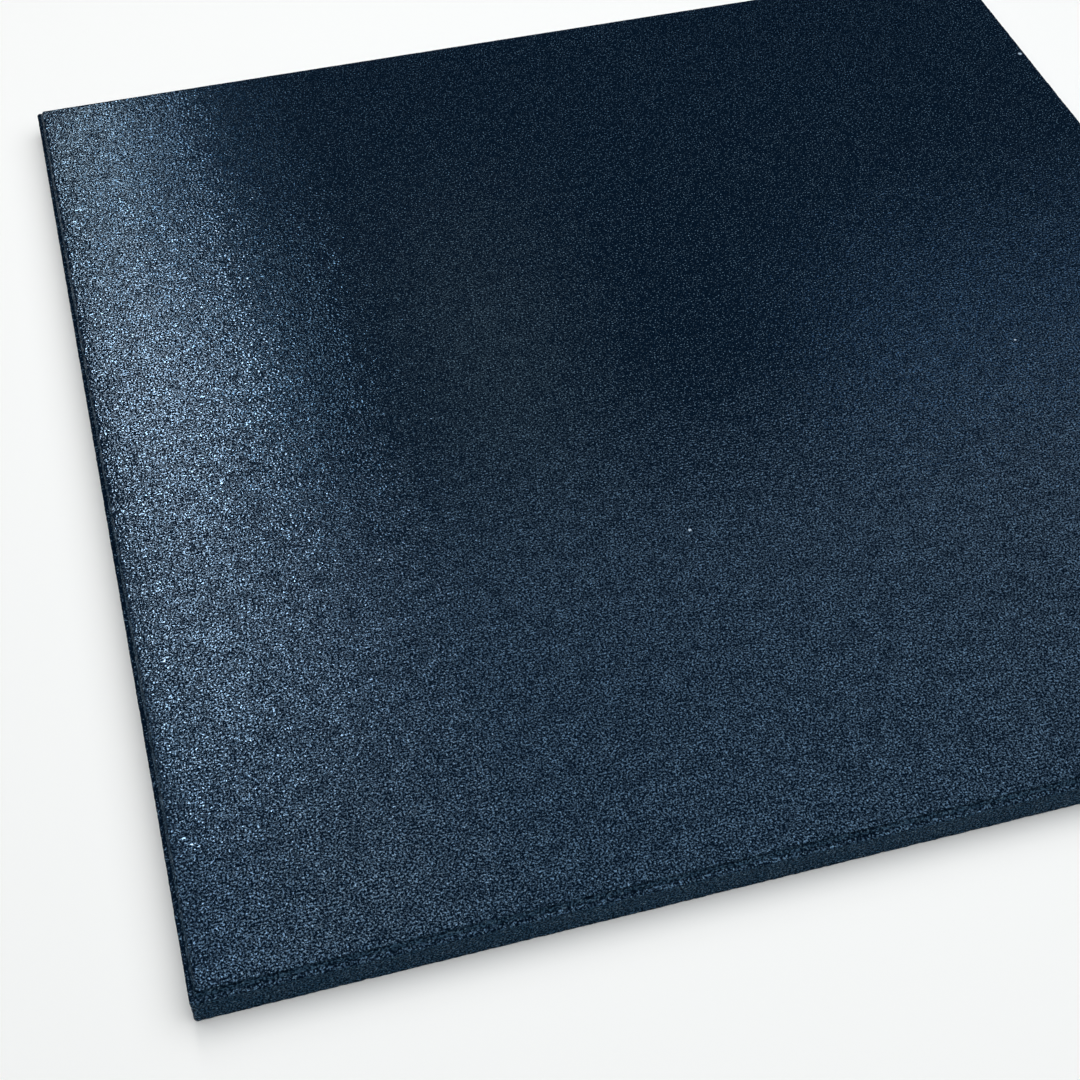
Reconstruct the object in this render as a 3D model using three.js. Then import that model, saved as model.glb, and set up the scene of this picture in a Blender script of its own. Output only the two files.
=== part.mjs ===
// A rubber gym floor tile: one slab of bonded rubber granules, moulded in one piece.
// Units are millimetres, +Z is up, and the origin is the middle of the underside.
// The tile lies on its flat underside. Its upright sides butt against the neighbouring tiles.
// Round the flat top face runs a moulded rim: a steep riser, then a ledge that falls to the side.
import * as THREE from 'three';

// The slab
const TILE_LENGTH = 1000; // along X
const TILE_WIDTH = 1000; // along Y
const TILE_THICKNESS = 30;

// The rim, from the edge of the top face outwards and down to the upright side
const RISER_HEIGHT = 4.8;
const RISER_RUN = 2.2;
const LEDGE_WIDTH = 3.8;
const LEDGE_FALL = 1.2;

// Rounding of the rim's own edges, in the section across a side
const UNDER_EDGE_ROUND = 1;
const SIDE_EDGE_ROUND = 0.9;
const RISER_FOOT_ROUND = 1.4;
const TOP_EDGE_ROUND = 0.8;

// Rounding of the four corners, seen from above
const OUTER_CORNER_RADIUS = 3;
const TOP_FACE_CORNER_RADIUS = 1.5;

// Straight pieces that stand in for each arc
const SECTION_ARC_STEPS = 3;
const CORNER_ARC_STEPS = 6;

const RUBBER_COLOUR = 0x1b2f41;
const RUBBER_ROUGHNESS = 0.7;

// The points of an arc that rounds the corner between two straight lines.
// An arc that the lines are too short for is made as large as half of the shorter line allows.
function roundedCorner(before, corner, after, radius) {
  const towardsBefore = before.clone().sub(corner);
  const towardsAfter = after.clone().sub(corner);
  const room = Math.min(towardsBefore.length(), towardsAfter.length()) / 2;
  towardsBefore.normalize();
  towardsAfter.normalize();
  const halfOpening = Math.acos(towardsBefore.dot(towardsAfter)) / 2;
  const setback = Math.min(radius / Math.tan(halfOpening), room);
  const arcRadius = setback * Math.tan(halfOpening);

  const start = corner.clone().addScaledVector(towardsBefore, setback);
  const bisector = towardsBefore.clone().add(towardsAfter).normalize();
  const centre = corner.clone().addScaledVector(bisector, arcRadius / Math.sin(halfOpening));
  const turnsLeft = towardsAfter.cross(towardsBefore) > 0;
  const sweep = (Math.PI - 2 * halfOpening) * (turnsLeft ? 1 : -1);

  const points = [];
  for (let step = 0; step <= SECTION_ARC_STEPS; step += 1) {
    points.push(start.clone().rotateAround(centre, (sweep * step) / SECTION_ARC_STEPS));
  }
  return points;
}

// The section across one side, from the underside up to the top face.
// In each point x is the distance in from the tile's outer side, and y is the height.
function sideSection() {
  const riserFoot = TILE_THICKNESS - RISER_HEIGHT;
  const sideHeight = riserFoot - LEDGE_FALL;
  const rimWidth = LEDGE_WIDTH + RISER_RUN;
  const shoulders = [
    { at: new THREE.Vector2(0, 0), round: UNDER_EDGE_ROUND },
    { at: new THREE.Vector2(0, sideHeight), round: SIDE_EDGE_ROUND },
    { at: new THREE.Vector2(LEDGE_WIDTH, riserFoot), round: RISER_FOOT_ROUND },
    { at: new THREE.Vector2(rimWidth, TILE_THICKNESS), round: TOP_EDGE_ROUND },
  ];

  // Both flat faces run on to the tile's middle.
  const towardsMiddle = Math.min(TILE_LENGTH, TILE_WIDTH) / 2;
  const undersideMiddle = new THREE.Vector2(towardsMiddle, 0);
  const topFaceMiddle = new THREE.Vector2(towardsMiddle, TILE_THICKNESS);
  return shoulders.flatMap(({ at, round }, place) => {
    const before = place > 0 ? shoulders[place - 1].at : undersideMiddle;
    const after = place < shoulders.length - 1 ? shoulders[place + 1].at : topFaceMiddle;
    return roundedCorner(before, at, after, round);
  });
}

// The tile's outline at one height, a rectangle with round corners, counterclockwise from above.
function outline(inset) {
  const shareOfRim = Math.min(inset / (LEDGE_WIDTH + RISER_RUN), 1);
  const radius = THREE.MathUtils.lerp(OUTER_CORNER_RADIUS, TOP_FACE_CORNER_RADIUS, shareOfRim);
  const centreX = TILE_LENGTH / 2 - inset - radius;
  const centreY = TILE_WIDTH / 2 - inset - radius;
  const corners = [[1, 1], [-1, 1], [-1, -1], [1, -1]];
  return corners.flatMap(([sideX, sideY], corner) => {
    const points = [];
    for (let step = 0; step <= CORNER_ARC_STEPS; step += 1) {
      const angle = (corner + step / CORNER_ARC_STEPS) * (Math.PI / 2);
      const x = sideX * centreX + radius * Math.cos(angle);
      const y = sideY * centreY + radius * Math.sin(angle);
      points.push(new THREE.Vector2(x, y));
    }
    return points;
  });
}

// A closed solid whose skin runs through one outline for each point of the section.
function slabGeometry() {
  const section = sideSection();
  const outlines = section.map((point) => outline(point.x));
  const around = outlines[0].length;

  const positions = [];
  outlines.forEach((points, level) => {
    points.forEach((point) => positions.push(point.x, point.y, section[level].y));
  });

  const triangles = [];
  for (let level = 0; level < outlines.length - 1; level += 1) {
    for (let place = 0; place < around; place += 1) {
      const next = (place + 1) % around;
      const low = level * around;
      const high = low + around;
      triangles.push(low + place, low + next, high + next);
      triangles.push(low + place, high + next, high + place);
    }
  }

  const topLevel = (outlines.length - 1) * around;
  const underside = THREE.ShapeUtils.triangulateShape(outlines[0], []);
  const topFace = THREE.ShapeUtils.triangulateShape(outlines[outlines.length - 1], []);
  underside.forEach(([a, b, c]) => triangles.push(a, c, b));
  topFace.forEach(([a, b, c]) => triangles.push(topLevel + a, topLevel + b, topLevel + c));

  const geometry = new THREE.BufferGeometry();
  geometry.setAttribute('position', new THREE.Float32BufferAttribute(positions, 3));
  geometry.setIndex(triangles);
  geometry.computeVertexNormals();
  return geometry;
}

const rubber = new THREE.MeshStandardMaterial({
  color: RUBBER_COLOUR,
  roughness: RUBBER_ROUGHNESS,
  metalness: 0,
  flatShading: true,
});

const slab = new THREE.Mesh(slabGeometry(), rubber);
slab.name = 'rubber_tile';

const tile = new THREE.Group();
tile.add(slab);

export default tile;
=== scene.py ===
# %% [markdown]
# # A rubber gym floor tile
# The real object is one heavy black slab, 1000 x 1000 x 30 mm. Tyre rubber is ground to granules,
# mixed with a binder and pressed hot in a mould, so every face shows fine pressed grains.
# The engineering model already has its true size and its stepped rim. This script loads that
# model as a fixed frame and dresses it: the grain, the rough edges, the finish and the light.

# %% Load the engineering model
import math

import bmesh
import bpy
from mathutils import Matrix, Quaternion, Vector, geometry, noise


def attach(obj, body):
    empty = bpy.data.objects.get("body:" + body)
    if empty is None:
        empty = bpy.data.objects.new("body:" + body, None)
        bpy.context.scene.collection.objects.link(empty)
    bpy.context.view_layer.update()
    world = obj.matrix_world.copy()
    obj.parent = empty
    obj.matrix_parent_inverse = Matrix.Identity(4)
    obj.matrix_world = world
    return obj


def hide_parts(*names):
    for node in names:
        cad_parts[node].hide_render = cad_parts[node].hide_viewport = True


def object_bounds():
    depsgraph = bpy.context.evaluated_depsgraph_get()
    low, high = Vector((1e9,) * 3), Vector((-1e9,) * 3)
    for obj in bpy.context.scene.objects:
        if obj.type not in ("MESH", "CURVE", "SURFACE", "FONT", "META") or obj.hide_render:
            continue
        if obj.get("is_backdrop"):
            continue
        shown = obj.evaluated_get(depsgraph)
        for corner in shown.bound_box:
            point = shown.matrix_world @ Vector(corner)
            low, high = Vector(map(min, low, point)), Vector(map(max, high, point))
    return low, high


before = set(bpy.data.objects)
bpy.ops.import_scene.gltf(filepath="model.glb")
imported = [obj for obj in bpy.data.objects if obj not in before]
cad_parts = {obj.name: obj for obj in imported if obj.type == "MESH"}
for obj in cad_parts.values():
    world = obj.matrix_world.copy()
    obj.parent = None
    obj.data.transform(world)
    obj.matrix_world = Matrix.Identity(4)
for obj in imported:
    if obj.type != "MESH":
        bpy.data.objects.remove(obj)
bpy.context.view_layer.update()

MM = 0.001

# %% [markdown]
# ## The camera
# The tile is seen from above its near left corner, and the picture cuts off its right end.
# A camera can be placed by eye, but the four straight edges of a square tile fix it exactly:
# this place, aim and lens put the edges where they are in the photograph. The small shift moves
# the picture without turning the camera, as cropping a larger photograph does.

# %% Camera
CAMERA_PLACE = Vector((-0.4425, -1.0649, 1.0972))
CAMERA_AIM = Vector((-0.2037, -0.1799, 0.0300))
CAMERA_ROLL = math.radians(-0.13)
FOCAL_LENGTH = 59.58
SENSOR_WIDTH = 36.0
PICTURE_SHIFT = (0.0366, 0.0074)

camera_data = bpy.data.cameras.new("camera")
camera_data.lens = FOCAL_LENGTH
camera_data.sensor_width = SENSOR_WIDTH
camera_data.sensor_fit = "HORIZONTAL"
camera_data.shift_x, camera_data.shift_y = PICTURE_SHIFT
camera = bpy.data.objects.new("camera", camera_data)
bpy.context.scene.collection.objects.link(camera)
camera.location = CAMERA_PLACE
look = (CAMERA_AIM - CAMERA_PLACE).to_track_quat("-Z", "Y")
camera.rotation_mode = "QUATERNION"
camera.rotation_quaternion = look @ Quaternion((0, 0, 1), CAMERA_ROLL)
bpy.context.scene.camera = camera
bpy.context.scene.view_settings.view_transform = "Standard"
print("camera stands", round(CAMERA_PLACE.z, 2), "m above the floor")

# %% [markdown]
# ## Helpers for colours and node trees
# Colours are written as sRGB hex values, because that is how a picture or a paint chart gives
# them. A shader works in linear light, so one function converts them.

# %% Colour and node helpers


def linear(hex_colour):
    """An sRGB hex value as linear red, green, blue and alpha, by the curve of the sRGB standard."""
    channels = [(hex_colour >> shift & 255) / 255 for shift in (16, 8, 0)]
    return [c / 12.92 if c <= 0.04045 else ((c + 0.055) / 1.055) ** 2.4 for c in channels] + [1.0]


def add_node(tree, kind, settings=(), links=()):
    """Adds one node. Settings and links are pairs of a property or socket, and its value or source."""
    node = tree.nodes.new(kind)
    for name, value in settings:
        if isinstance(name, int) or name in node.inputs:
            node.inputs[name].default_value = value
        else:
            setattr(node, name, value)
    for name, source in links:
        tree.links.new(source, node.inputs[name])
    return node


print("sRGB grey 0x808080 in linear light:", round(linear(0x808080)[0], 3))

# %% [markdown]
# ## The section across a side
# Where the top face ends, a steep riser drops about 5 mm to a narrow ledge. The ledge falls a
# little to the upright side. The mould's edges leave small rounds. The section is drawn once
# as a list of shoulders and then rounded, with more points where the shape turns.

# %% Section of the rim
TILE_THICKNESS = 30.0
# Each shoulder: distance in from the side, height, rounding, all in mm.
SHOULDERS = ((0, 0, 0.6), (0, 24.0, 0.9), (3.8, 25.2, 1.4), (6.0, TILE_THICKNESS, 0.35))
# The section starts on the underside and ends on the top face, both a little in from the side.
UNDERSIDE_START = Vector((5.0, 0.0))
TOP_FRINGE_END = Vector((10.5, TILE_THICKNESS))
# Straight pieces that stand in for each round.
ARC_STEPS = 2
# Lengths of the straight runs between the rounds are cut to about these steps, in mm.
RUN_STEPS = (2.0, 1.9, 0.95, 0.85, 1.3)


def rounded_shoulder(before, corner, after, radius):
    """Points of the arc between two straight runs of the section."""
    back = (before - corner).normalized()
    on = (after - corner).normalized()
    half_opening = back.angle(on) / 2
    setback = radius / math.tan(half_opening)
    start = corner + back * setback
    end = corner + on * setback
    centre = corner + (back + on).normalized() * (radius / math.sin(half_opening))
    points = []
    for step in range(ARC_STEPS + 1):
        share = step / ARC_STEPS
        ray = (start - centre).lerp(end - centre, share)
        points.append(centre + ray.normalized() * radius)
    return points


def straight_run(start, end, step):
    """Points from start to end, about a step apart."""
    count = max(1, round((end - start).length / step))
    return [start.lerp(end, place / count) for place in range(count + 1)]


def section_points():
    """The section from the underside up to the top face, as points in mm."""
    corners = [Vector(shoulder[:2]) for shoulder in SHOULDERS]
    line = [UNDERSIDE_START] + corners + [TOP_FRINGE_END]
    points = [UNDERSIDE_START]
    for place, (_, _, radius) in enumerate(SHOULDERS):
        arc = rounded_shoulder(line[place], line[place + 1], line[place + 2], radius)
        points += straight_run(points[-1], arc[0], RUN_STEPS[place])[1:-1] + arc
    return points + straight_run(points[-1], TOP_FRINGE_END, RUN_STEPS[-1])[1:]


section = section_points()
print("section points:", len(section))

# %% [markdown]
# ## Grain in the mesh
# Pressed rubber crumb is never smooth: the sides and the rim have lumps of a few millimetres,
# where granules sit proud or have torn out as the tile left the mould. Right under the edge of
# the top face the rim is torn hollow, and two bits have broken out of it. A bump map would leave
# the outline straight and throw no shadow, so the edges get real relief. Every point of the
# skin is moved inwards only, by a depth from cell noise and soft noise, so the true size is kept.

# %% Depth of the relief
# How wide a lump, a wave and a grain are, in mm.
LUMP_SIZE = 4.2
WAVE_SIZE = 16.0
GRAIN_SIZE = 2.0
# Above 1, a lump is flatter on top and steeper at its foot.
LUMP_STEEPNESS = 1.5


def relief_depth(point, lump, wave, grain):
    """How far a point in mm lies under the mould's face, from three sizes of unevenness in mm."""
    cell = noise.voronoi(point / LUMP_SIZE)[0][0]
    soft = 0.5 + 0.5 * noise.noise(point / WAVE_SIZE)
    fine = noise.voronoi(point / GRAIN_SIZE)[0][0]
    lump_share = min(cell, 1.0) ** LUMP_STEEPNESS
    return lump * lump_share + wave * min(max(soft, 0.0), 1.0) + grain * min(fine, 1.0)


# Between these heights the riser is hollow, so the edge of the top face throws a ragged shadow.
LIP_LOW, LIP_HIGH = 28.2, 29.6
LIP_HOLLOW = 1.5
# The hollow is this share of that depth on average, give or take the swing, and its deeper and
# shallower stretches are about as long as the patch, in mm.
LIP_SHARE = 0.75
LIP_SWING = 0.8
LIP_PATCH = 7.0
# Places where a bit of the rim has broken out: x, y, reach and depth in mm.
NICKS = ((-382.7, -495.4, 5.0, 1.8), (-203.0, -492.7, 4.0, 1.6))


def broken_out(point):
    """Extra depth in mm at the hollow under the lip and at the nicks in the rim."""
    depth = 0.0
    if LIP_LOW < point.z < LIP_HIGH:
        depth += LIP_HOLLOW * (LIP_SHARE + LIP_SWING * noise.noise(point / LIP_PATCH))
    for x, y, reach, deepest in NICKS:
        away = math.hypot(point.x - x, point.y - y)
        depth += deepest * max(0.0, 1.0 - away / reach)
    return max(depth, 0.0)


# Zones up the section, which are the foot of the side, the side and the rim: the height that each
# one ends at, and how deep its lumps, waves and grains are, all in mm.
RELIEF_ZONES = ((2.5, (0.55, 0.0, 0.15)), (22.5, (0.45, 0.25, 0.3)), (29.5, (0.4, 0.3, 0.25)))
# On the top face the rougher edge ends this many mm in from the side.
TOP_EDGE_REACH = 7.5
TOP_EDGE_RELIEF = (0.16, 0.22, 0.10)
TOP_RELIEF = (0.04, 0.22, 0.05)


def relief_at(inset, height):
    """Depths of the three sizes of relief at a place in the section."""
    for zone_end, depths in RELIEF_ZONES:
        if height < zone_end:
            return depths
    return TOP_RELIEF if inset > TOP_EDGE_REACH else TOP_EDGE_RELIEF


print("lumps, waves and grains on the side, in mm:", relief_at(0.0, TILE_THICKNESS / 2))

# %% [markdown]
# ## The skin round the rim
# The section is carried round the tile's outline as rings of points, one ring for each point
# of the section, joined by four-sided faces. Columns stand about 1.7 mm apart, which is as fine
# as a granule, and each point is nudged along the skin so that no row of faces shows.

# %% Rings round the tile
HALF_SIDE = 500.0
OUTER_CORNER_RADIUS = 3.0
TOP_CORNER_RADIUS = 1.5
RIM_WIDTH = 6.0
COLUMNS_ALONG_SIDE = 588
COLUMNS_ROUND_CORNER = 4
# Points are nudged along the skin by up to this many mm, in a pattern this fine per mm.
NUDGE = 0.3
NUDGE_FREQUENCY = 0.77


def outline_columns():
    """Columns round the tile: corner signs at both ends, share of the way, and outward turn."""
    signs = [(1, -1), (1, 1), (-1, 1), (-1, -1)]
    columns = []
    for side in range(4):
        start, end = signs[side], signs[(side + 1) % 4]
        facing = side * math.pi / 2
        for step in range(COLUMNS_ALONG_SIDE):
            columns.append((start, end, step / COLUMNS_ALONG_SIDE, facing))
        for step in range(COLUMNS_ROUND_CORNER):
            turn = facing + step / COLUMNS_ROUND_CORNER * math.pi / 2
            columns.append((end, end, 0.0, turn))
    return columns


def outline_point(column, inset):
    """The place of a column on the tile's outline, drawn in by the inset, in mm."""
    start, end, share, turn = column
    rim_share = min(inset / RIM_WIDTH, 1.0)
    radius = OUTER_CORNER_RADIUS + (TOP_CORNER_RADIUS - OUTER_CORNER_RADIUS) * rim_share
    reach = HALF_SIDE - inset - radius
    outward = Vector((math.cos(turn), math.sin(turn)))
    return (Vector(start) * reach).lerp(Vector(end) * reach, share) + outward * radius, outward


columns = outline_columns()
print("columns round the tile:", len(columns))


def section_normal(place):
    """Direction out of the skin at a point of the section: inwards along the tile, and up."""
    before = section[max(place - 1, 0)]
    after = section[min(place + 1, len(section) - 1)]
    along = (after - before).normalized()
    return Vector((-along.y, along.x))


def ring_points(place):
    """One ring of relief points, in mm."""
    inset, height = section[place]
    normal_in, normal_up = section_normal(place)
    depths = relief_at(inset, height)
    # The first and the last ring aren't nudged, because the flat faces join on there.
    nudge = 0.0 if place in (0, len(section) - 1) else NUDGE
    points = []
    for column in columns:
        flat, outward = outline_point(column, inset)
        point = Vector((flat.x, flat.y, height))
        outward = Vector((outward.x, outward.y, 0.0))
        normal = outward * -normal_in + Vector((0, 0, normal_up))
        depth = relief_depth(point, *depths) + broken_out(point)
        sideways = outward.cross(Vector((0, 0, 1))) * (noise.noise(point * NUDGE_FREQUENCY) * nudge)
        points.append(point - normal * depth + sideways)
    return points


print("a point of the first ring, in mm:", tuple(round(value, 2) for value in ring_points(0)[0]))

# %% [markdown]
# ## The top face and the underside
# The top is flat but not perfect: it undulates by about a tenth of a millimetre, as a thick
# rubber slab does once it has left the press. A regular grid can't meet the fine rim. A
# constrained triangulation can: it joins the rim's own points to points that stand wider apart.

# %% Fill inside a ring
# Spacing of the points in mm: loops with wider and wider steps first, then a grid.
TOP_STEPS = (2.5, 3.5, 5.0, 7.0)
TOP_SPACING = 9.0
UNDERSIDE_STEPS = (6.0, 15.0)
UNDERSIDE_SPACING = 40.0
# Gap between the last loop and the grid, and between the grid's rows, as shares of its spacing.
GRID_GAP = 0.8
ROW_GAP = 0.87
# How deep the lumps, waves and grains of the two flat faces are, in mm.
TOP_UNDULATION = (0.0, 0.22, 0.0)
UNDERSIDE_UNDULATION = (0.0, 0.2, 0.0)
# Settings of the triangulation: keep what is inside the ring, and join points nearer than this.
INSIDE_ONLY = 1
JOIN_DISTANCE = 1e-4


def inner_points(border_inset, steps, spacing):
    """Points inside a ring: loops that widen their steps, then a staggered grid, in mm."""
    points = []
    inset = border_inset
    for step in steps:
        inset += step
        reach = HALF_SIDE - inset
        count = round(2 * reach / step)
        for place in range(count):
            along = -reach + 2 * reach * place / count
            points += [(along, -reach), (reach, along), (-along, reach), (-reach, -along)]
    reach = HALF_SIDE - inset - spacing * GRID_GAP
    rows = round(2 * reach / (spacing * ROW_GAP))
    across = round(2 * reach / spacing)
    for row in range(rows + 1):
        stagger = (row % 2) * 0.5
        for place in range(across + 1 - (row % 2)):
            x = -reach + 2 * reach * (place + stagger) / across
            points.append((x, -reach + 2 * reach * row / rows))
    return points


def fill(border, inside):
    """Triangles over a ring of flat border points and the points inside it."""
    count = len(border)
    edges = [(place, (place + 1) % count) for place in range(count)]
    flat = [Vector(point) for point in border + inside]
    result = geometry.delaunay_2d_cdt(flat, edges, [], INSIDE_ONLY, JOIN_DISTANCE, True)
    faces, origins = result[2], result[3]
    sources = [origin[0] for origin in origins]
    return [[sources[corner] for corner in face] for face in faces]


square = [(0, 0), (1, 0), (1, 1), (0, 1)]
print("triangles over a square with a point in its middle:", len(fill(square, [(0.5, 0.5)])))

# %% [markdown]
# ## Build the slab
# Everything is put together in one closed mesh, because the real tile is one moulded piece.
# A map of the surface is laid out as well: the top face takes most of it, the four sides lie in
# strips beside it, and the underside, which nobody sees, gets a small square.

# %% Points of the skin
MAP_NAME = "OFBake"
bm = bmesh.new()
uv = bm.loops.layers.uv.new(MAP_NAME)
rings = [[bm.verts.new(point * MM) for point in ring_points(place)] for place in range(len(section))]
print("points of the skin:", len(bm.verts))

# %% Map of the surface
# Sizes on the map as shares of its width.
TOP_MAP_SIZE = 0.80
STRIP_MAP_HEIGHT = 0.036
UNDERSIDE_MAP_SIZE = 0.17
MAP_GAP = 0.004
TOP_CORNER = (MAP_GAP, MAP_GAP)
UNDERSIDE_CORNER = (TOP_MAP_SIZE + 3 * MAP_GAP, MAP_GAP)


def map_flat(face, corner, size):
    """Lays a flat face on the map, seen straight from above."""
    half = HALF_SIDE * MM
    for loop in face.loops:
        place = Vector((loop.vert.co.x + half, loop.vert.co.y + half)) * size
        loop[uv].uv = Vector(corner) + place


def map_strip(face, row, column):
    """Lays a face of the rim or side in the strip of its side."""
    per_side = COLUMNS_ALONG_SIDE + COLUMNS_ROUND_CORNER
    side, along = divmod(column, per_side)
    span = len(section) - 1
    foot = TOP_MAP_SIZE + 2 * MAP_GAP + side * (STRIP_MAP_HEIGHT + MAP_GAP)
    for loop, (right, up) in zip(face.loops, ((0, 0), (1, 0), (1, 1), (0, 1))):
        across = MAP_GAP + (along + right) / per_side * TOP_MAP_SIZE
        loop[uv].uv = (across, foot + (row + up) / span * STRIP_MAP_HEIGHT)


print("share of the map that the top face takes:", round(TOP_MAP_SIZE ** 2, 2))

# %% Faces of the rim and the sides
# A point less than this many mm from the height of a flat face belongs to that face.
TOUCH = 0.01
top_row = next(i for i, p in enumerate(section) if p.y > TILE_THICKNESS - TOUCH)
under_row = next(i for i, p in enumerate(section) if p.y > TOUCH) - 1
for row in range(len(rings) - 1):
    low, high = rings[row], rings[row + 1]
    for column in range(len(columns)):
        following = (column + 1) % len(columns)
        face = bm.faces.new((low[column], low[following], high[following], high[column]))
        # The edge of the top face stays crisp, so the flat top shades flat right up to it.
        if row == top_row:
            bm.edges.get((low[column], low[following])).smooth = False
        if row >= top_row:
            map_flat(face, TOP_CORNER, TOP_MAP_SIZE)
        elif row < under_row:
            map_flat(face, UNDERSIDE_CORNER, UNDERSIDE_MAP_SIZE)
        else:
            map_strip(face, row, column)
print("faces round the rim and the sides:", len(bm.faces))

# %% Top face and underside


def close_with(ring, border_inset, height, steps, spacing, depths, upwards, corner, size):
    """Fills one open end of the skin with triangles and lays them on the map."""
    inside = inner_points(border_inset, steps, spacing)
    border = [(vert.co.x / MM, vert.co.y / MM) for vert in ring]
    verts = list(ring)
    for x, y in inside:
        point = Vector((x, y, height))
        depth = relief_depth(point, *depths)
        point.z -= depth if upwards else -depth
        verts.append(bm.verts.new(point * MM))
    for triangle in fill(border, inside):
        order = triangle if upwards else triangle[::-1]
        map_flat(bm.faces.new([verts[place] for place in order]), corner, size)


close_with(
    rings[-1], TOP_FRINGE_END.x, TOP_FRINGE_END.y, TOP_STEPS,
    TOP_SPACING, TOP_UNDULATION, True, TOP_CORNER, TOP_MAP_SIZE,
)
close_with(
    rings[0], UNDERSIDE_START.x, UNDERSIDE_START.y, UNDERSIDE_STEPS,
    UNDERSIDE_SPACING, UNDERSIDE_UNDULATION, False, UNDERSIDE_CORNER, UNDERSIDE_MAP_SIZE,
)
print("faces of the closed skin:", len(bm.faces))

# %% Slab
bmesh.ops.recalc_face_normals(bm, faces=bm.faces)
for face in bm.faces:
    face.smooth = True
slab_mesh = bpy.data.meshes.new("granulate_slab")
bm.to_mesh(slab_mesh)
bm.free()
slab = bpy.data.objects.new("granulate_slab", slab_mesh)
bpy.context.scene.collection.objects.link(slab)
slab_mesh.calc_loop_triangles()
print("slab triangles:", len(slab_mesh.loop_triangles))

# %% [markdown]
# ## Pressed tyre granulate
# The material is SBR rubber, ground from tyres to 1 to 2 mm grains, bonded with polyurethane and
# pressed hot. The mould plate rubs the grains flat, so each bit of crumb is a small facet with a
# smooth face that tilts its own way. Dull dark gaps run between the faces, and thin curled ridges
# stand along their edges. Rare pale flecks are painted glints: the sparkle of a grain that catches
# a lamp, painted into the colour. Black rubber by itself is nearly colourless; its bluish cast
# comes from the binder and the cool light.
#
# To the eye that is a dark, finely sparkling skin: where a lamp is mirrored, some faces flash and
# their neighbours stay dark. An image could be painted for it, but fields of noise can be given
# the size of a real grain, and they work the same on every side of the slab. The sides were not
# rubbed by the plate, so they are paler and duller. The riser is palest. It is partly torn crumb,
# and partly painted light that lifts the riser where the lamps leave it dark.

# %% Sizes of the grain
# Rubber and its binder both bend light like most plastics.
RUBBER_IOR = 1.5
# A face is about as smooth as the steel plate that pressed it. A gap is as dull as torn rubber.
SATIN_ROUGHNESS = 0.06
DULL_ROUGHNESS = 0.7
# Each field of the grain: name, width of what it draws, and how many finer copies are laid over
# it. A real grain is 1 to 2 mm wide. Its ridges and glints are finer than a picture of the
# whole tile can show, so the curl field and the field of painted glints draw them as coarse as
# the grain itself.
GRAIN_FIELDS = (
    ("crumb", 1.5 * MM, 1.0),
    ("curl", 2.4 * MM, 0.0),
    ("glint_fleck", 1.3 * MM, 0.0),
    ("tilt", 2.3 * MM, 0.0),
    ("patch", 14 * MM, 2.0),
)
# Height in mm between the high and the low end of the tilt field.
CRUMB_TILT = 0.15
# Pale specks of dust on the top face: x, y and reach in mm.
DUST_SPECKS = ((489.5, 327.7, 2.4), (-53.7, -201.2, 1.7), (-298.2, -166.7, 1.3), (293.2, -66.8, 1.4))
# How strongly a rubbed face and a gap mirror, and the share of it that a side keeps. Plain rubber
# is at 0.5. A rubbed face is set stronger, because it carries a thin film of glossy binder.
FACE_SHINE = 1.38
GAP_SHINE = 0.02
SIDE_SHINE_SHARE = 0.04
# Above 1, the shine falls off faster from the middle of a face towards the gap.
SHINE_FALL = 1.5
# Colours of the gaps and of the rubbed faces, then the pale colour of the painted glints and of
# the riser's torn crumb, which is partly painted light, then of dust and of mirrored light.
TOP_COLOURS = (0x030E1B, 0x07192A)
SIDE_COLOURS = (0x0A1825, 0x2E506A)
PALE_TIP_AND_GLINT_COLOUR = 0x5C7688
DUST_COLOUR = 0xA4B6C6
SHINE_TINT = 0x9FCEF7
print("fields of grain:", ", ".join(field for field, _, _ in GRAIN_FIELDS))

# %% Granulate material


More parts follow.
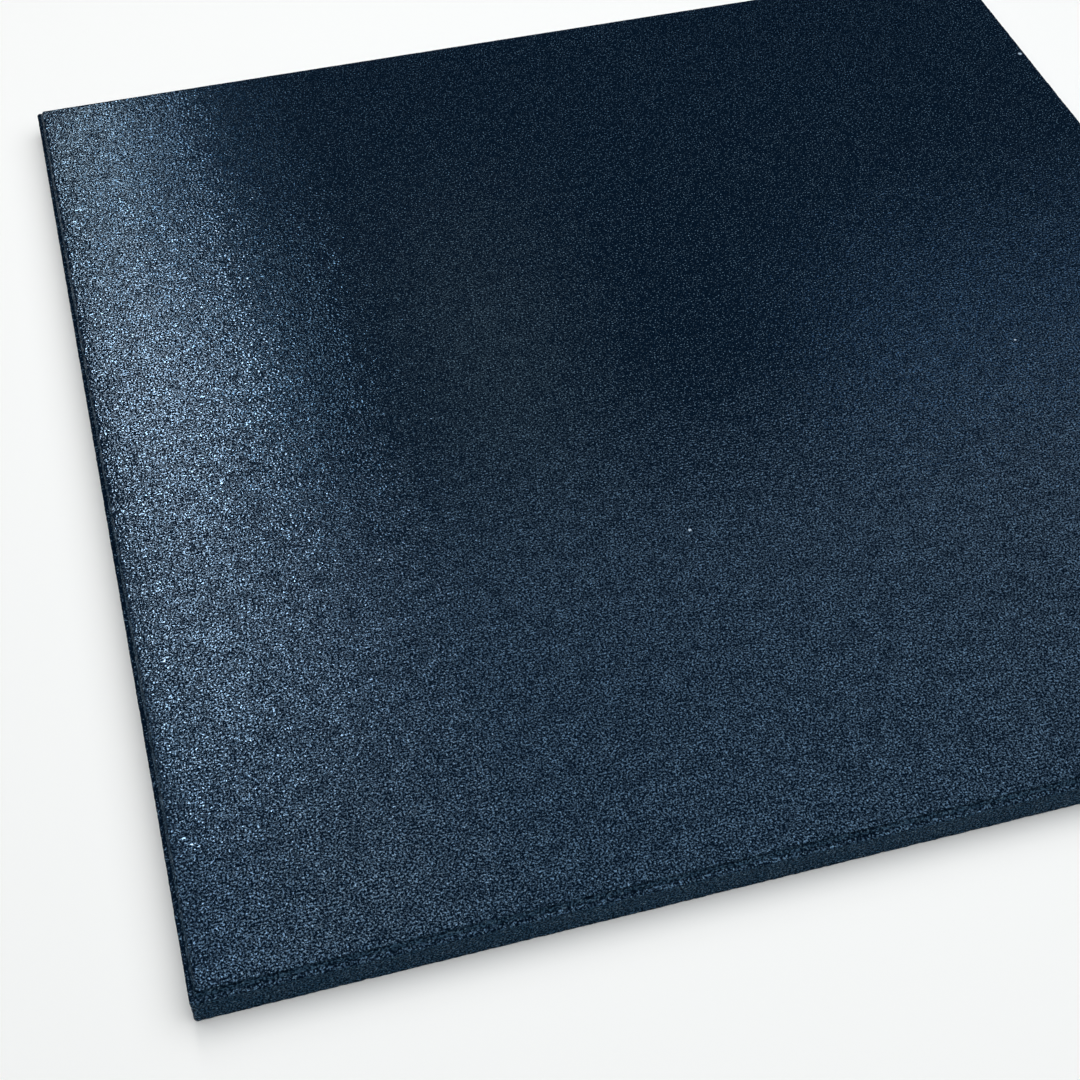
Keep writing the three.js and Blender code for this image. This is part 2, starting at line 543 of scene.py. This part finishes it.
def pressed_granulate(name, top_colours, side_colours, pale_tip_and_glint_colour, dust_colour):
    """Pressed tyre granulate: crumb with satin faces, dull dark gaps, and duller sides."""
    material = bpy.data.materials.new(name)
    material.use_nodes = True
    tree = material.node_tree
    tree.nodes.clear()
    coordinates = add_node(tree, "ShaderNodeTexCoord").outputs
    fields = {}
    for field, width, detail in GRAIN_FIELDS:
        fields[field] = add_node(
            tree, "ShaderNodeTexNoise",
            [("Scale", 1 / width), ("Detail", detail)], [("Vector", coordinates["Object"])],
        ).outputs["Fac"]
    fields["upright"] = add_node(
        tree, "ShaderNodeSeparateXYZ", [], [("Vector", coordinates["Normal"])],
    ).outputs["Z"]

    # Where the curl field is near one half it draws thin curled lines, like the ridges on crumb.
    fields["line"] = add_node(
        tree, "ShaderNodeMath", [("operation", "PINGPONG"), (1, 0.5)], [(0, fields["curl"])],
    ).outputs[0]

    # Each range: name, field that it reads, low and high end, and the value at either end.
    ranges = (
        ("pressed", "upright", 0.5, 0.85, 0.0, 1.0),
        ("rubbed", "crumb", 0.45, 0.65, 0.0, 1.0),
        ("stroke", "line", 0.43, 0.5, 0.6, 1.85),
        ("roughness", "crumb", 0.42, 0.52, DULL_ROUGHNESS, SATIN_ROUGHNESS),
        # The next range draws rare pale flecks. These are painted glints that stand for grains
        # catching a lamp.
        ("painted_glint", "glint_fleck", 0.67, 0.79, 0.0, 1.0),
        # The next range marks the riser. It is partly torn crumb and partly painted light, which lifts
        # it where the lamps leave it dark.
        ("torn_and_painted_light", "upright", 0.1, 0.4, 0.0, 0.30),
        ("liveliness", "patch", 0.35, 0.65, 0.7, 1.35),
        ("shine_share", "upright", 0.4, 0.85, SIDE_SHINE_SHARE, 1.0),
    )
    for result, source, low_end, high_end, at_low, at_high in ranges:
        fields[result] = add_node(
            tree, "ShaderNodeMapRange",
            [("From Min", low_end), ("From Max", high_end), ("To Min", at_low), ("To Max", at_high)],
            [("Value", fields[source])],
        ).outputs["Result"]

    # The height of the skin in mm: each bit of crumb tilts its own way.
    height = add_node(
        tree, "ShaderNodeMath", [("operation", "MULTIPLY"), (1, CRUMB_TILT)], [(0, fields["tilt"])],
    )
    bump = add_node(
        tree, "ShaderNodeBump", [("Strength", 1.0), ("Distance", 1 * MM)],
        [("Height", height.outputs[0])],
    )

    # Gaps are darker than rubbed faces, and the sides are paler than the top. The riser is palest:
    # partly torn crumb, and partly painted light that lifts it where the lamps leave it dark.
    top = add_node(
        tree, "ShaderNodeMix", [("data_type", "RGBA"), (6, top_colours[0]), (7, top_colours[1])],
        [(0, fields["rubbed"])],
    )
    side = add_node(
        tree, "ShaderNodeMix", [("data_type", "RGBA"), (6, side_colours[0]), (7, side_colours[1])],
        [(0, fields["rubbed"])],
    )
    # Painted light, in part: the riser's crumb is mixed towards the pale colour, which lifts it where
    # the lamps leave it dark.
    riser_torn_and_painted_light = add_node(
        tree, "ShaderNodeMath", [("operation", "MULTIPLY")],
        [(0, fields["torn_and_painted_light"]), (1, fields["rubbed"])],
    )
    side = add_node(
        tree, "ShaderNodeMix", [("data_type", "RGBA"), (7, pale_tip_and_glint_colour)],
        [(0, riser_torn_and_painted_light.outputs[0]), (6, side.outputs[2])],
    )
    skin = add_node(
        tree, "ShaderNodeMix", [("data_type", "RGBA")],
        [(0, fields["pressed"]), (6, side.outputs[2]), (7, top.outputs[2])],
    )
    # Painted glints: rare pale flecks in the colour stand for grains that catch a lamp.
    colour = add_node(
        tree, "ShaderNodeMix", [("data_type", "RGBA"), (7, pale_tip_and_glint_colour)],
        [(0, fields["painted_glint"]), (6, skin.outputs[2])],
    )

    # A speck of dust hides the rubber under it, and thins out over the outer half of its reach.
    for x, y, reach in DUST_SPECKS:
        speck_middle = (x * MM, y * MM, TILE_THICKNESS * MM)
        away = add_node(
            tree, "ShaderNodeVectorMath", [("operation", "DISTANCE"), (1, speck_middle)],
            [(0, coordinates["Object"])],
        )
        dusted = add_node(
            tree, "ShaderNodeMapRange",
            [("From Min", reach * MM), ("From Max", 0.5 * reach * MM)],
            [("Value", away.outputs["Value"])],
        )
        colour = add_node(
            tree, "ShaderNodeMix", [("data_type", "RGBA"), (7, dust_colour)],
            [(0, dusted.outputs["Result"]), (6, colour.outputs[2])],
        )

    # Only the rubbed faces mirror the light, brightest along curled strokes and in lively patches.
    shine = add_node(
        tree, "ShaderNodeMath", [("operation", "POWER"), (1, SHINE_FALL)], [(0, fields["rubbed"])],
    )
    shine = add_node(
        tree, "ShaderNodeMapRange", [("To Min", GAP_SHINE), ("To Max", FACE_SHINE)],
        [("Value", shine.outputs[0])],
    )
    for share in ("stroke", "liveliness", "shine_share"):
        shine = add_node(
            tree, "ShaderNodeMath", [("operation", "MULTIPLY")],
            [(0, shine.outputs[0]), (1, fields[share])],
        )
    surface = add_node(
        tree, "ShaderNodeBsdfPrincipled",
        [("IOR", RUBBER_IOR), ("Metallic", 0.0), ("Specular Tint", linear(SHINE_TINT))],
        [
            ("Specular IOR Level", shine.outputs[0]), ("Base Color", colour.outputs[2]),
            ("Roughness", fields["roughness"]), ("Normal", bump.outputs[0]),
        ],
    )
    add_node(tree, "ShaderNodeOutputMaterial", [], [("Surface", surface.outputs[0])])
    return material


granulate = pressed_granulate(
    "pressed_tyre_granulate",
    [linear(colour) for colour in TOP_COLOURS],
    [linear(colour) for colour in SIDE_COLOURS],
    linear(PALE_TIP_AND_GLINT_COLOUR),
    linear(DUST_COLOUR),
)
slab_mesh.materials.append(granulate)
print("nodes in the granulate:", len(granulate.node_tree.nodes))

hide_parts("rubber_tile")
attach(slab, "root")

# %% [markdown]
# ## Floor
# The tile lies on plain white. A floor in matt white paint stands for it, which looks evenly
# bright from every side and mirrors next to nothing. It could be a box or a curved sheet, but a
# wide round disc is enough, because its far edge lies in the dark.

# %% Floor
FLOOR_DROP = 0.2 * MM
FLOOR_REACH = 14.0
FLOOR_SEGMENTS = 96
FLOOR_COLOUR = 0xF4F4F1
FLOOR_ROUGHNESS = 0.9
FLOOR_SHINE = 0.1
floor_mesh = bpy.data.meshes.new("floor")
bm = bmesh.new()
bmesh.ops.create_circle(bm, cap_ends=True, radius=FLOOR_REACH, segments=FLOOR_SEGMENTS)
bm.to_mesh(floor_mesh)
bm.free()
floor = bpy.data.objects.new("floor", floor_mesh)
floor.location.z = -FLOOR_DROP
bpy.context.scene.collection.objects.link(floor)
painted = bpy.data.materials.new("matt_white_paint")
painted.use_nodes = True
paint_inputs = painted.node_tree.nodes["Principled BSDF"].inputs
paint_inputs["Base Color"].default_value = linear(FLOOR_COLOUR)
paint_inputs["Roughness"].default_value = FLOOR_ROUGHNESS
paint_inputs["Specular IOR Level"].default_value = FLOOR_SHINE
floor_mesh.materials.append(painted)
floor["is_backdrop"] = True
print("floor reaches", FLOOR_REACH, "m out from the tile's middle")

# %% [markdown]
# ## Light
# A dark, smooth thing shows what it mirrors, so the light is laid out by what each part of the
# top face sees. Wide soft panels under the ceiling fill the near half of the tile and its right
# side with an even, dim grain. Behind them the room stays dark, and so does the tile's far half.
#
# The long sheen down the left mirrors a bright soft box above and behind the tile. One even box
# would light every face alike. This one has slats across it, so a face that tilts towards a
# bright slat flashes and one that tilts towards the dark between two slats doesn't.

# %% Lights
# Height of the broad panels in metres. The slats hang a little lower, because two panels in one
# plane hide each other.
CEILING = 2.6
SLAT_DROP = 0.02
WORLD_STRENGTH = 0.02
# Each broad panel: left and right edge, near and far edge in metres, radiance and colour.
BROAD_PANELS = {
    "ceiling_panel_near": (-2.5, 3.5, -2.5, 1.25, 1.77, 0xFAFCFF),
    "ceiling_panel_far": (-2.5, 3.5, 1.25, 2.10, 1.43, 0xF4F9FF),
    "right_panel": (1.5, 3.5, 2.10, 2.75, 1.04, 0xBFDFFF),
    "sheen_outer_edge": (0.30, 0.80, 1.90, 3.20, 0.519, 0xFAFFF2),
}
# Near and far ends of the four lengths of a slat, in metres.
SLAT_ENDS = (0.60, 1.45, 2.30, 3.20, 4.60)
# Each slat of the sheen: left and right edge, then radiance and colour of its four lengths.
SHEEN_SLATS = (
    (-0.60, -0.51, ((4.0, 0xFCF4F8), (18.4, 0xFDF1EA), (26.6, 0xF8F4F2), (16.6, 0xF0FCFF))),
    (-0.35, -0.26, ((3.4, 0xFFE4D0), (12.9, 0xFAF0EC), (26.2, 0xF4F5F6), (10.9, 0xD8EFFF))),
    (-0.08, -0.01, ((3.0, 0xFFE2D0), (5.60, 0xFAF0F0), (8.8, 0xDAF2FF), (1.5, 0xA0D8FF))),
)


def ceiling_panel(name, left, right, near, far, radiance, colour, drop=0.0):
    """A soft panel under the ceiling that shines straight down."""
    width, length = right - left, far - near
    data = bpy.data.lights.new(name, "AREA")
    data.shape = "RECTANGLE"
    data.size = width
    data.size_y = length
    # A flat lamp sends out pi watts per square metre for each unit of radiance.
    data.energy = radiance * math.pi * width * length
    data.color = linear(colour)[:3]
    light = bpy.data.objects.new(name, data)
    light.location = ((left + right) / 2, (near + far) / 2, CEILING - drop)
    bpy.context.scene.collection.objects.link(light)


for name, values in BROAD_PANELS.items():
    ceiling_panel(name, *values)
for slat, (left, right, lengths) in enumerate(SHEEN_SLATS):
    for part, (radiance, colour) in enumerate(lengths):
        near, far = SLAT_ENDS[part:part + 2]
        name = "sheen_slat_%d_%d" % (slat, part)
        ceiling_panel(name, left, right, near, far, radiance, colour, SLAT_DROP)

world = bpy.data.worlds.new("dim_room")
bpy.context.scene.world = world
world.use_nodes = True
background = world.node_tree.nodes["Background"].inputs
background["Color"].default_value = linear(0xFFFFFF)
background["Strength"].default_value = WORLD_STRENGTH

# %% [markdown]
# ## Size of the dressed tile
# The dressed tile may not be larger than the engineering model, so its box is printed.
# The dressed tile may not be larger than the engineering model, so both boxes are written out.

# %% Size of the dressed tile
low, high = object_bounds()
print("dressed tile, low and high corner:", tuple(low), tuple(high))
